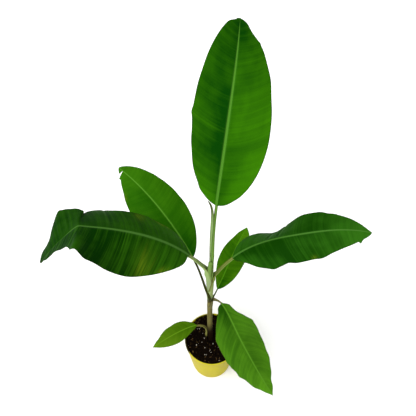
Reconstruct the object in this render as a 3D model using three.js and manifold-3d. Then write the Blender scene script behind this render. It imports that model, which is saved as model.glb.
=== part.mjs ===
// A young banana plant in a tapered nursery pot.
//
// Units are millimetres and +Z is up. The origin is the centre of the pot's flat underside.
// Headings are degrees from +X towards +Y, and rises are degrees above the horizontal.
// Every leaf is two pieces, its petiole and its blade with the midrib, both along one spine.

import * as THREE from "three";
import { mergeVertices } from "three/addons/utils/BufferGeometryUtils.js";
import Module from "manifold-3d";

const wasm = await Module();
wasm.setup();

// ---------------------------------------------------------------- driving dimensions

const GAP = 0.3; // clearance between pieces that touch on the plant
const CREASE_GAP = 0.5; // along the midrib, between a blade and its hanging tip

const POT_HEIGHT = 110;
const POT_RIM_RADIUS = 60;
const POT_FOOT_RADIUS = 46;
const POT_WALL = 1.5;
const POT_FLOOR = 2.2;
const LIP_HEIGHT = 4.5;
const LIP_DEPTH = 0.8; // how far the lip stands out from the wall
const POT_SIDES = 48;

const MIX_LEVEL = 106; // potting mix, level with the stem's foot
const MIX_MOUND = 1.2; // its low swells between the stem and the wall

const STEM_FOOT_Z = MIX_LEVEL + GAP;
const STEM_TOP_Z = 386;
const STEM_SIDES = 12;
// Stem outline: height, radius, and the sideways sway of its axis in X and Y.
const STEM_STATIONS = [
  { z: STEM_FOOT_Z, radius: 6.9, x: -2, y: 1 },
  { z: 116, radius: 6, x: -2.5, y: 1 },
  { z: 150, radius: 5.8, x: -4, y: 0.5 },
  { z: 200, radius: 5.7, x: -4.5, y: 0 },
  { z: 265, radius: 5.8, x: -4.5, y: 0 },
  { z: 305, radius: 6.5, x: -4.6, y: 0 },
  { z: 350, radius: 6, x: -4.8, y: 0 },
  { z: STEM_TOP_Z, radius: 4.6, x: -3.4, y: 0 },
];

const BLADE_THICKNESS_SHARE = 0.0102; // of the blade's length
const EDGE_THINNING = 0.7; // the margin's thickness, as a share of the blade's

// A leaf's spine starts at `from` inside the stem and runs along the petiole and the midrib.
// `at` counts 0 at the stem, 1 where the blade begins and 2 at the tip. `rise`, `heading` and
// `twist` turn the spine there. `half` is each half's greatest width, reached at `widest` of the
// blade, and `heel` and `point` are how blunt its two ends are. A fold lifts a half above the
// side direction at the blade fractions `foldAt`, and a curl bends it further on to the margin.
// `stalk` is the petiole's width at the stem and at the blade. A blade whose tip hangs from a
// sharp `crease` is two pieces, parted at that fraction of its length.
const LEAVES = {
  top: {
    from: [-1.5, 1.9, STEM_TOP_Z + GAP], petiole: 119, blade: 254, stalk: [5.2, 4.4],
    at: [0, 1, 1.5, 2], rise: [89, 76, 68, 44], heading: [80, 67, 73, 86], twist: [0, 2, -5, -26],
    half: { left: 51, right: 58 }, widest: 0.42, heel: 0.6, point: { left: 0.52, right: 0.52 },
    foldAt: [0, 0.5, 1], fold: { left: [16, 4, 18], right: [16, 5, 5] },
    curl: { left: -15, right: -20 }, stations: 15, columns: 3,
  },
  left: {
    from: [-8.4, 0.3, 352], petiole: 59, blade: 283, stalk: [6, 4.8],
    at: [0, 1, 1.33, 1.64, 1.76, 2], rise: [68, 50, 27, 4, -43, -47],
    heading: [175, 180, 186, 189, 206, 177], twist: [0, 0, 3, -17, -6, 4],
    half: { left: 72, right: 72 }, widest: 0.48, heel: 0.6, point: { left: 1.16, right: 0.58 },
    foldAt: [0, 0.3, 0.6, 0.8, 1],
    fold: { left: [-2, -17, -4, 24, 20], right: [-1, -14, -2, 11, 12] },
    curl: { left: -2, right: -15 }, stations: 26, columns: 3, crease: 0.7,
  },
  rear_left: {
    from: [-6.6, 3.3, 266], petiole: 93, blade: 243, stalk: [3.6, 2.8],
    at: [0, 1, 1.5, 2], rise: [71, 44, 20, 3], heading: [122, 132, 134, 138],
    twist: [0, 0, 5, 22],
    half: { left: 50, right: 49 }, widest: 0.46, heel: 0.76, point: { left: 0.76, right: 0.76 },
    foldAt: [0, 0.5, 1], fold: { left: [25, 7, -4], right: [25, 6, 9] },
    curl: { left: -33, right: -19 }, stations: 15, columns: 3,
  },
  right: {
    from: [-0.7, 1, 337], petiole: 63, blade: 240, stalk: [6, 3.8],
    at: [0, 1, 1.35, 1.66, 2], rise: [67, 46, 22, 5, -17], heading: [15, 11, -1, 5, 2],
    twist: [0, 0, 3, -8, -14],
    half: { left: 50, right: 47 }, widest: 0.3, heel: 0.92, point: { left: 0.68, right: 0.68 },
    foldAt: [0, 0.3, 0.65, 1], fold: { left: [11, -22, 5, 2], right: [9, -10, -16, -12] },
    curl: { left: -20, right: -28 }, stations: 17, columns: 3,
  },
  front: {
    from: [-0.6, -0.3, 272], petiole: 23, blade: 229, stalk: [4, 3.2],
    at: [0, 1, 1.5, 2], rise: [46, -38, -50, -42], heading: [-4, -41, -44, -42],
    twist: [0, -13, -11, -9],
    half: { left: 43, right: 47 }, widest: 0.48, heel: 0.68, point: { left: 1, right: 1 },
    foldAt: [0, 0.5, 1], fold: { left: [48, -8, 3], right: [17, -9, -12] },
    curl: { left: 7, right: -38 }, stations: 15, columns: 3,
  },
  rear_right: {
    from: [-1.5, 2.5, 262], petiole: 28, blade: 133, stalk: [2.8, 2.2],
    at: [0, 1, 1.5, 2], rise: [61, 53, 44, 23], heading: [39, 50, 58, 56], twist: [0, 4, 5, 8],
    half: { left: 27, right: 27 }, widest: 0.48, heel: 0.78, point: { left: 0.78, right: 0.78 },
    foldAt: [0, 0.5, 1], fold: { left: [16, 8, -4], right: [17, 7, 2] },
    curl: { left: -36, right: -17 }, stations: 11, columns: 2,
  },
  low: {
    from: [-9.9, 1, MIX_LEVEL + GAP], petiole: 74, blade: 104, stalk: [4.8, 2.6],
    at: [0, 0.5, 1, 1.5, 2], rise: [90, 86, 9, -12, -29], heading: [149, 167, 195, 206, 203],
    twist: [0, 0, 0, 0, 0],
    half: { left: 22, right: 22 }, widest: 0.44, heel: 0.86, point: { left: 1.08, right: 1.08 },
    foldAt: [0, 0.5, 1], fold: { left: [20, 6, 2], right: [18, 5, 1] },
    curl: { left: -9, right: -10 }, stations: 11, columns: 2,
  },
};

// The rolled new leaf stands against the top leaf's petiole and leans away at its tip.
const SPEAR = {
  from: [-5.9, 3.2, STEM_TOP_Z + GAP],
  length: 137,
  at: [0, 0.7, 0.86, 1],
  rise: [89, 80, 79, 58],
  heading: [80, 72, 120, 178],
  radius: [1.7, 1.7, 1.4, 0.7],
};

// ---------------------------------------------------------------- materials

function plastic(color) {
  return new THREE.MeshStandardMaterial({ color, roughness: 0.42, metalness: 0 });
}

function plantTissue(color, roughness) {
  return new THREE.MeshStandardMaterial({ color, roughness, metalness: 0 });
}

// ---------------------------------------------------------------- curves and lofts

// Smooth value at x through the stations (xs, ys): a cubic with the neighbours' mean slopes.
function through(xs, ys, x) {
  const last = xs.length - 1;
  let i = 0;
  while (i < last - 1 && x >= xs[i + 1]) {
    i += 1;
  }
  const slope = (k) => {
    const a = Math.max(k - 1, 0);
    const b = Math.min(k + 1, last);
    return (ys[b] - ys[a]) / (xs[b] - xs[a]);
  };
  const h = xs[i + 1] - xs[i];
  const u = THREE.MathUtils.clamp((x - xs[i]) / h, 0, 1);
  const v = 1 - u;
  const start = ys[i] * (1 + 2 * u) * v * v + slope(i) * h * u * v * v;
  const end = ys[i + 1] * u * u * (3 - 2 * u) - slope(i + 1) * h * u * u * v;
  return start + end;
}

// The axes of a limb that runs up at `rise` towards `heading`, turned by `twist` about itself.
function limbAxes(rise, heading, twist) {
  const r = THREE.MathUtils.degToRad(rise);
  const h = THREE.MathUtils.degToRad(heading);
  const along = new THREE.Vector3(Math.cos(r) * Math.cos(h), Math.cos(r) * Math.sin(h), Math.sin(r));
  const side = new THREE.Vector3(Math.sin(h), -Math.cos(h), 0);
  side.applyAxisAngle(along, -THREE.MathUtils.degToRad(twist));
  const up = new THREE.Vector3().crossVectors(side, along);
  return { along, side, up };
}

// A spine is walked in 1 mm steps, and gives its point and axes at any length s.
function makeSpine(from, length, axesAt) {
  const steps = Math.ceil(length);
  const step = length / steps;
  const points = [new THREE.Vector3(...from)];
  for (let k = 0; k < steps; k += 1) {
    const { along } = axesAt((k + 0.5) * step);
    points.push(points[k].clone().addScaledVector(along, step));
  }
  return (s) => {
    const k = THREE.MathUtils.clamp(Math.floor(s / step), 0, steps - 1);
    const point = points[k].clone().lerp(points[k + 1], s / step - k);
    return { point, ...axesAt(s) };
  };
}

// Closed body through sections of equal, even point counts. Each section runs from its left end
// over the top to the right end and back underneath, and the caps join its top to its bottom.
function loft(sections) {
  const n = sections[0].length;
  const positions = sections.flat().flatMap((p) => [p.x, p.y, p.z]);
  const index = [];
  for (let k = 0; k + 1 < sections.length; k += 1) {
    for (let i = 0; i < n; i += 1) {
      const a = k * n + i;
      const b = k * n + ((i + 1) % n);
      index.push(a, b, b + n, a, b + n, a + n);
    }
  }
  const end = (sections.length - 1) * n;
  for (let i = 0; i + 1 < n / 2; i += 1) {
    const j = n - 1 - i;
    index.push(i, j, j - 1, i, j - 1, i + 1);
    index.push(end + i, end + i + 1, end + j - 1, end + i, end + j - 1, end + j);
  }
  const geometry = new THREE.BufferGeometry();
  geometry.setAttribute("position", new THREE.Float32BufferAttribute(positions, 3));
  geometry.setIndex(index);
  return geometry;
}

// Round section of a limb, `flat` times as thick as it is wide.
function roundSection(frame, radius, sides, flat = 1) {
  const section = [];
  for (let i = 0; i < sides; i += 1) {
    const a = ((i + 0.5) * 2 * Math.PI) / sides;
    const p = frame.point.clone();
    p.addScaledVector(frame.side, -radius * Math.cos(a));
    p.addScaledVector(frame.up, radius * flat * Math.sin(a));
    section.push(p);
  }
  return section;
}

// ---------------------------------------------------------------- cuts

function toSolid(geometry) {
  const merged = mergeVertices(geometry);
  const vertProperties = new Float32Array(merged.attributes.position.array);
  const triVerts = new Uint32Array(merged.index.array);
  return new wasm.Manifold(new wasm.Mesh({ numProp: 3, vertProperties, triVerts }));
}

function toGeometry(solid) {
  const mesh = solid.getMesh();
  const geometry = new THREE.BufferGeometry();
  geometry.setAttribute("position", new THREE.BufferAttribute(mesh.vertProperties, 3));
  geometry.setIndex(new THREE.BufferAttribute(mesh.triVerts, 1));
  return geometry;
}

// What is left of a limb outside the stem: its largest piece.
function cutClearOf(geometry, tool) {
  const parts = toSolid(geometry).subtract(tool).decompose();
  parts.sort((a, b) => b.volume() - a.volume());
  return toGeometry(parts[0]);
}

// ---------------------------------------------------------------- pot and potting mix

function potOuterRadius(z) {
  return THREE.MathUtils.mapLinear(z, 0, POT_HEIGHT, POT_FOOT_RADIUS, POT_RIM_RADIUS - LIP_DEPTH);
}

function potInnerRadius(z) {
  return potOuterRadius(z) - POT_WALL;
}

function potGeometry() {
  const lipZ = POT_HEIGHT - LIP_HEIGHT;
  const round = 0.5; // small rounding of the lip's edges
  const profile = [
    [0, 0],
    [POT_FOOT_RADIUS - 1, 0],
    [potOuterRadius(1), 1],
    [potOuterRadius(lipZ), lipZ],
    [POT_RIM_RADIUS, lipZ + LIP_DEPTH],
    [POT_RIM_RADIUS, POT_HEIGHT - round],
    [POT_RIM_RADIUS - round, POT_HEIGHT],
    [potInnerRadius(POT_HEIGHT) + round, POT_HEIGHT],
    [potInnerRadius(POT_HEIGHT), POT_HEIGHT - round],
    [potInnerRadius(POT_FLOOR), POT_FLOOR],
    [0, POT_FLOOR],
  ];
  return revolve(profile);
}

function mixGeometry() {
  const wallRadius = (z) => potInnerRadius(z) - GAP;
  const floor = POT_FLOOR + GAP;
  const profile = [
    [0, floor],
    [wallRadius(floor), floor],
    [wallRadius(MIX_LEVEL), MIX_LEVEL],
    [POT_RIM_RADIUS * 0.82, MIX_LEVEL + MIX_MOUND],
    [POT_RIM_RADIUS * 0.6, MIX_LEVEL + MIX_MOUND * 0.3],
    [POT_RIM_RADIUS * 0.4, MIX_LEVEL + MIX_MOUND * 0.8],
    [POT_RIM_RADIUS * 0.24, MIX_LEVEL],
    [0, MIX_LEVEL],
  ];
  return revolve(profile);
}

// Body of revolution about +Z from a profile of [radius, height] that starts and ends on the axis.
function revolve(profile) {
  const points = profile.map(([r, z]) => new THREE.Vector2(r, z));
  const lathe = new THREE.LatheGeometry(points, POT_SIDES);
  lathe.deleteAttribute("normal");
  lathe.deleteAttribute("uv");
  lathe.rotateX(Math.PI / 2);
  return mergeVertices(lathe, 1e-4);
}

// ---------------------------------------------------------------- stem and rolled leaf

// The stem's sections are level. `extra` makes the fatter, deeper body that cuts the limbs clear.
function stemGeometry(extra = 0) {
  const zs = STEM_STATIONS.map((s) => s.z);
  const axes = limbAxes(90, 90, 0);
  const value = (key, z) => through(zs, STEM_STATIONS.map((s) => s[key]), z);
  const heights = zs.flatMap((z, i) => (z - zs[i - 1] > 20 ? [(z + zs[i - 1]) / 2, z] : [z]));
  const sections = heights.map((z) => {
    const level = z === STEM_FOOT_Z ? z - 5 * extra : z;
    const point = new THREE.Vector3(value("x", z), value("y", z), level);
    return roundSection({ point, ...axes }, value("radius", z) + extra, STEM_SIDES);
  });
  return loft(sections);
}

function spearGeometry() {
  const stops = SPEAR.at.map((f) => f * SPEAR.length);
  const axesAt = (s) => limbAxes(through(stops, SPEAR.rise, s), through(stops, SPEAR.heading, s), 0);
  const spine = makeSpine(SPEAR.from, SPEAR.length, axesAt);
  const sections = [];
  const count = 9;
  for (let k = 0; k < count; k += 1) {
    const s = (SPEAR.length * k) / (count - 1);
    sections.push(roundSection(spine(s), through(stops, SPEAR.radius, s), 8));
  }
  return loft(sections);
}

// ---------------------------------------------------------------- leaves

function leafSpine(leaf) {
  const stops = leaf.at.map((a) => (a <= 1 ? a * leaf.petiole : leaf.petiole + (a - 1) * leaf.blade));
  const axesAt = (s) => limbAxes(
    through(stops, leaf.rise, s),
    through(stops, leaf.heading, s),
    through(stops, leaf.twist, s),
  );
  return makeSpine(leaf.from, leaf.petiole + leaf.blade, axesAt);
}

// The petiole is a little flatter than round, and sinks to run on as the rib under the blade.
function petioleGeometry(leaf, spine) {
  const length = leaf.petiole - GAP;
  const count = Math.max(5, Math.round(length / 11));
  const sections = [];
  for (let k = 0; k < count; k += 1) {
    const f = k / (count - 1);
    const frame = spine(f * length);
    const radius = THREE.MathUtils.lerp(leaf.stalk[0], leaf.stalk[1], f) / 2;
    frame.point.addScaledVector(frame.up, -f * radius * 0.6);
    sections.push(roundSection(frame, radius, 8, 0.85));
  }
  return loft(sections);
}

// Width of one half at the blade fraction t.
function halfWidth(leaf, hand, t) {
  const before = t < leaf.widest;
  const x = before ? (leaf.widest - t) / leaf.widest : (t - leaf.widest) / (1 - leaf.widest);
  return leaf.half[hand] * Math.max(0, 1 - x * x) ** (before ? leaf.heel : leaf.point[hand]);
}

// Points across one half from the midrib to the margin, on its upper face and its underside.
function halfSection(leaf, hand, t, frame, thickness, ribHalf, ribDepth) {
  const width = Math.max(halfWidth(leaf, hand, t), ribHalf * 1.2);
  const sign = hand === "right" ? 1 : -1;
  const lift = through(leaf.foldAt, leaf.fold[hand], t);
  const stops = [0, ribHalf];
  for (let c = 1; c <= leaf.columns; c += 1) {
    stops.push(ribHalf + ((width - ribHalf) * c) / leaf.columns);
  }
  const upper = [];
  const under = [];
  const place = frame.point.clone();
  stops.forEach((reach, i) => {
    const share = i === 0 ? 0 : (reach + stops[i - 1]) / 2 / width;
    const angle = THREE.MathUtils.degToRad(lift + leaf.curl[hand] * share);
    if (i > 0) {
      place.addScaledVector(frame.side, sign * Math.cos(angle) * (reach - stops[i - 1]));
      place.addScaledVector(frame.up, Math.sin(angle) * (reach - stops[i - 1]));
    }
    const normal = frame.up.clone().multiplyScalar(i === 0 ? 1 : Math.cos(angle));
    normal.addScaledVector(frame.side, i === 0 ? 0 : -sign * Math.sin(angle));
    const margin = i === stops.length - 1 ? EDGE_THINNING : 1;
    const depth = i === 0 ? ribDepth : thickness * margin;
    upper.push(place.clone());
    under.push(place.clone().addScaledVector(normal, -depth));
  });
  return { upper, under };
}

// The blade between two fractions of its length, with its stations closer towards its ends.
function bladeGeometry(leaf, spine, first, last) {
  const thickness = leaf.blade * BLADE_THICKNESS_SHARE;
  const spread = (k) => {
    const even = k / (leaf.stations - 1);
    return THREE.MathUtils.lerp(even, (1 - Math.cos(Math.PI * even)) / 2, 0.6);
  };
  const between = Array.from({ length: leaf.stations }, (_, k) => spread(k));
  const clear = 0.01; // a station nearer than this to an end is left out
  const inside = between.filter((t) => t > first + clear && t < last - clear);
  const sections = [];
  for (const t of [first, ...inside, last]) {
    const frame = spine(leaf.petiole + t * leaf.blade);
    const ribHalf = THREE.MathUtils.lerp(leaf.stalk[1] / 2, thickness / 2, t);
    const ribDepth = THREE.MathUtils.lerp(leaf.stalk[1] * 0.85, thickness, t);
    const left = halfSection(leaf, "left", t, frame, thickness, ribHalf, ribDepth);
    const right = halfSection(leaf, "right", t, frame, thickness, ribHalf, ribDepth);
    sections.push([
      ...left.upper.toReversed(),
      ...right.upper.slice(1),
      ...right.under.toReversed(),
      ...left.under.slice(1),
    ]);
  }
  return loft(sections);
}

// ---------------------------------------------------------------- assembly

const group = new THREE.Group();

function addPiece(name, geometry, material) {
  geometry.computeVertexNormals();
  const mesh = new THREE.Mesh(geometry, material);
  mesh.name = name;
  group.add(mesh);
}

addPiece("pot", potGeometry(), plastic(0xd3c852));
addPiece("potting_mix", mixGeometry(), plantTissue(0x1c140c, 0.95));
addPiece("pseudostem", stemGeometry(), plantTissue(0x7f8359, 0.6));
addPiece("rolled_leaf", spearGeometry(), plantTissue(0x8fa06a, 0.55));

const stemCutter = toSolid(stemGeometry(GAP));
for (const [name, leaf] of Object.entries(LEAVES)) {
  const spine = leafSpine(leaf);
  const petiole = cutClearOf(petioleGeometry(leaf, spine), stemCutter);
  addPiece(`petiole_${name}`, petiole, plantTissue(0x86a058, 0.55));
  const parting = CREASE_GAP / 2 / leaf.blade;
  const hang = leaf.crease ?? 1;
  const main = bladeGeometry(leaf, spine, 0, leaf.crease ? hang - parting : 1);
  addPiece(`blade_${name}`, main, plantTissue(0x35741c, 0.45));
  if (leaf.crease) {
    const tip = bladeGeometry(leaf, spine, hang + parting, 1);
    addPiece(`blade_${name}_tip`, tip, plantTissue(0x35741c, 0.45));
  }
}

export default group;
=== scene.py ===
import math

import bmesh
import bpy
import numpy as np
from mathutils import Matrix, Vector


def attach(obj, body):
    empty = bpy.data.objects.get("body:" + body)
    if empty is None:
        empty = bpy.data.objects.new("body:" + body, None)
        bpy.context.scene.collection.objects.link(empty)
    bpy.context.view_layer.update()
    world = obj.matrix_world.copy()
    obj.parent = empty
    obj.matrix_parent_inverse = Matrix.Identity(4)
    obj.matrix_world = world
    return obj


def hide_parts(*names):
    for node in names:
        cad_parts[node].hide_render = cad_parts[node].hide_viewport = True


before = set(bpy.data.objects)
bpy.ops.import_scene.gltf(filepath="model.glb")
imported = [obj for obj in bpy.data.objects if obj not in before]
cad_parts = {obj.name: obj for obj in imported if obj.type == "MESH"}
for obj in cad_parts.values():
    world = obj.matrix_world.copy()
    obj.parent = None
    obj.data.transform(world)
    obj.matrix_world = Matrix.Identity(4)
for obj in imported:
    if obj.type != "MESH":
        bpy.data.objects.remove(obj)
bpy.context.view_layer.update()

# A young banana plant in a nursery pot. Shapes are worked out in millimetres, in the row frame,
# and become metres when a mesh is made. Headings are degrees from +X towards +Y, rises are
# degrees above the horizontal.

MM = 0.001

# ---- the plant's dimensions

POT_HEIGHT = 110
POT_RIM_RADIUS = 60
POT_FOOT_RADIUS = 46
POT_WALL = 1.5
POT_FLOOR = 2.2
LIP_HEIGHT = 4.5
LIP_DEPTH = 0.8
MIX_LEVEL = 106

STEM_FOOT_Z = 106.3
STEM_TOP_Z = 386
# The stem's outline and the sideways sway of its axis.
STEM_Z = [STEM_FOOT_Z, 116, 150, 200, 265, 305, 350, STEM_TOP_Z]
STEM_RADIUS = [6.9, 6, 5.8, 5.7, 5.8, 6.5, 6, 4.2]
STEM_X = [-2, -2.5, -4, -4.5, -4.5, -4.6, -4.8, -3.4]
STEM_Y = [1, 1, 0.5, 0, 0, 0, 0, 0]

# Free edges of the sheaths that wrap the stem: the heading where each starts, its drift round the
# stem for each 100 mm of height, the heights where it starts and ends, and its step.
SHEATH_EDGES = [
    (-70, 14, 106, 262, 0.55), (150, -20, 106, 268, 0.5), (42, 10, 128, 300, 0.45),
    (-91, 18, 240, 386, 0.5), (-49, -12, 262, 386, 0.4), (112, 8, 255, 386, 0.45),
]

# A leaf's spine starts at `from` and runs along the petiole and the midrib. `at` counts 0 at the
# stem, 1 where the blade begins and 2 at the tip. `rise`, `heading` and `twist` turn it there.
# `midrib` is the midrib's width where the blade begins. `half` is each half's greatest width,
# reached at `widest`; `heel` and `point` are how blunt the ends are. A fold lifts a half at the
# fractions `fold_at`, and a curl bends it on to the margin. `sheath` is how far down the stem the
# leaf's own sheath shows.
LEAVES = {
    "top": {
        "from": (-1.5, 1.9, 386.3), "petiole": 119, "blade": 254, "midrib": 4.4,
        "at": (0, 1, 1.5, 2), "rise": (89, 76, 68, 44), "heading": (80, 67, 73, 86),
        "twist": (0, 2, -5, -26), "half": {"left": 51, "right": 58}, "widest": 0.42,
        "heel": 0.6, "point": {"left": 0.52, "right": 0.52}, "fold_at": (0, 0.5, 1),
        "fold": {"left": (16, 4, 18), "right": (16, 5, 5)}, "curl": {"left": -15, "right": -20},
        "sheath": 70,
    },
    "left": {
        "from": (-8.4, 0.3, 352), "petiole": 59, "blade": 283, "midrib": 4.8,
        "at": (0, 1, 1.33, 1.58, 1.647, 1.668, 1.76, 2),
        "rise": (68, 50, 26, 14, 12, -28, -37, -50),
        "heading": (175, 180, 186, 188, 190, 195, 200, 190),
        "twist": (0, 0, 3, -15, -15, -8, -5, 4),
        "half": {"left": 72, "right": 72}, "widest": 0.48,
        "heel": 0.6, "point": {"left": 1.16, "right": 0.58},
        "fold_at": (0, 0.3, 0.45, 0.57, 0.66, 0.8, 1),
        "fold": {"left": (-2, -17, -13, -6, 4, 8, 6), "right": (-1, -13.5, -9, -1, -1, 11, 12)},
        "curl": {"left": -2, "right": -15}, "sheath": 60,
    },
    "rear_left": {
        "from": (-6.6, 3.3, 266), "petiole": 93, "blade": 243, "midrib": 2.8,
        "at": (0, 1, 1.5, 2), "rise": (71, 44, 20, 3), "heading": (122, 132, 134, 138),
        "twist": (0, 0, 5, 22), "half": {"left": 50, "right": 49}, "widest": 0.46,
        "heel": 0.76, "point": {"left": 0.76, "right": 0.76}, "fold_at": (0, 0.5, 1),
        "fold": {"left": (25, 7, -4), "right": (25, 6, 9)}, "curl": {"left": -33, "right": -19},
        "sheath": 0,
    },
    "right": {
        "from": (-0.7, 1, 337), "petiole": 63, "blade": 240, "midrib": 3.8,
        "at": (0, 1, 1.35, 1.66, 2), "rise": (67, 46, 22, 5, -17),
        "heading": (15, 11, -1, 5, 2), "twist": (0, 0, 3, -8, -14),
        "half": {"left": 50, "right": 47}, "widest": 0.3,
        "heel": 0.92, "point": {"left": 0.68, "right": 0.68}, "fold_at": (0, 0.3, 0.65, 1),
        "fold": {"left": (11, -22, 5, 2), "right": (9, -10, -16, -12)},
        "curl": {"left": -20, "right": -28}, "sheath": 52,
    },
    "front": {
        "from": (-0.6, -0.3, 272), "petiole": 23, "blade": 229, "midrib": 3.2,
        "at": (0, 1, 1.5, 2), "rise": (46, -38, -50, -42), "heading": (-4, -41, -44, -42),
        "twist": (0, -13, -11, -9), "half": {"left": 43, "right": 47}, "widest": 0.48,
        "heel": 0.68, "point": {"left": 1, "right": 1}, "fold_at": (0, 0.5, 1),
        "fold": {"left": (48, -8, 3), "right": (17, -9, -12)}, "curl": {"left": 7, "right": -38},
        "sheath": 26,
    },
    "rear_right": {
        "from": (-1.5, 2.5, 262), "petiole": 28, "blade": 133, "midrib": 2.2,
        "at": (0, 1, 1.5, 2), "rise": (61, 53, 44, 23), "heading": (39, 50, 58, 56),
        "twist": (0, 4, 5, 8), "half": {"left": 27, "right": 27}, "widest": 0.48,
        "heel": 0.78, "point": {"left": 0.78, "right": 0.78}, "fold_at": (0, 0.5, 1),
        "fold": {"left": (16, 8, -4), "right": (17, 7, 2)}, "curl": {"left": -36, "right": -17},
        "sheath": 20,
    },
    "low": {
        "from": (-9.9, 1, 106.3), "petiole": 74, "blade": 104, "midrib": 2.6,
        "at": (0, 0.5, 1, 1.5, 2), "rise": (90, 86, 9, -12, -29),
        "heading": (149, 167, 195, 206, 203), "twist": (0, 0, 0, 0, 0),
        "half": {"left": 22, "right": 22}, "widest": 0.44,
        "heel": 0.86, "point": {"left": 1.08, "right": 1.08}, "fold_at": (0, 0.5, 1),
        "fold": {"left": (20, 6, 2), "right": (18, 5, 1)}, "curl": {"left": -9, "right": -10},
        "sheath": 0,
    },
}

SPEAR = {
    "from": (-4, 3.2, 386.3), "length": 131, "at": (0, 0.72, 0.86, 1),
    "rise": (89, 80, 77, 50), "heading": (86, 77, 138, 182), "radius": (2, 2.3, 2.1, 1),
}

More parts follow.
